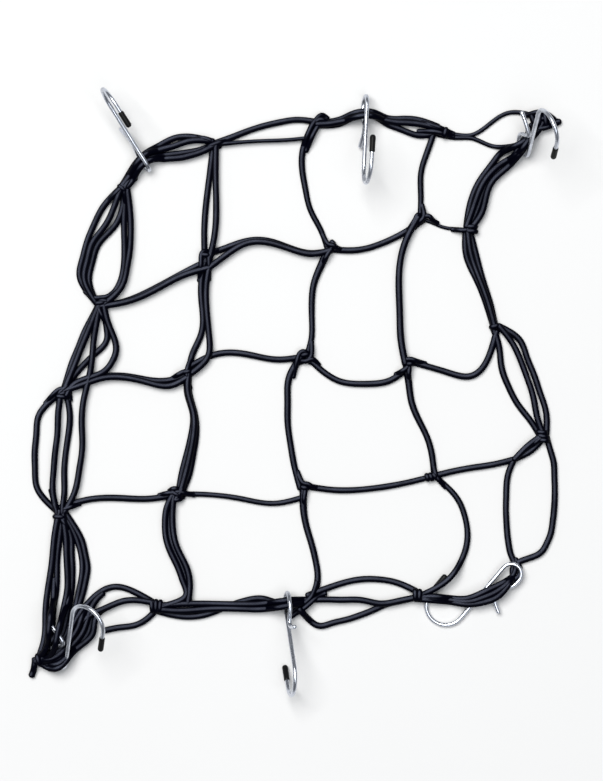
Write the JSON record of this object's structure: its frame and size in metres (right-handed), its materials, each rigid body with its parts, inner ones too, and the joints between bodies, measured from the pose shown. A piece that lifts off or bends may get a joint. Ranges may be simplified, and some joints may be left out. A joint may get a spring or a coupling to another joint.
{
  "type": "cargo net",
  "caption": "Elastic cargo net tied from cord in square cells, lying loose on a flat surface, with wire hooks on its border.",
  "frame": {"origin": "under the middle knot, on the surface that the net lies on", "axes": "+Z out of that surface, +Y towards the edge that holds the two upper standing hooks, +X towards the corner hook that stands highest"},
  "size_m": [0.3301, 0.3739, 0.0629],
  "materials": {
    "elastic_cord": "braided black elastic cord",
    "zinc_wire": "bright zinc-plated wire",
    "dipped_tip": "black dipped plastic"
  },
  "bodies": {
    "root": {"net": "elastic_cord", "hook_top_left": "zinc_wire", "hook_top_left_tip": "dipped_tip", "hook_top": "zinc_wire", "hook_top_tip": "dipped_tip", "hook_top_right": "zinc_wire", "hook_top_right_tip": "dipped_tip", "hook_bottom_left": "zinc_wire", "hook_bottom_left_tip": "dipped_tip", "hook_bottom": "zinc_wire", "hook_bottom_tip": "dipped_tip", "hook_bottom_right": "zinc_wire", "hook_bottom_right_tip": "dipped_tip"}
  },
  "joints": []
}
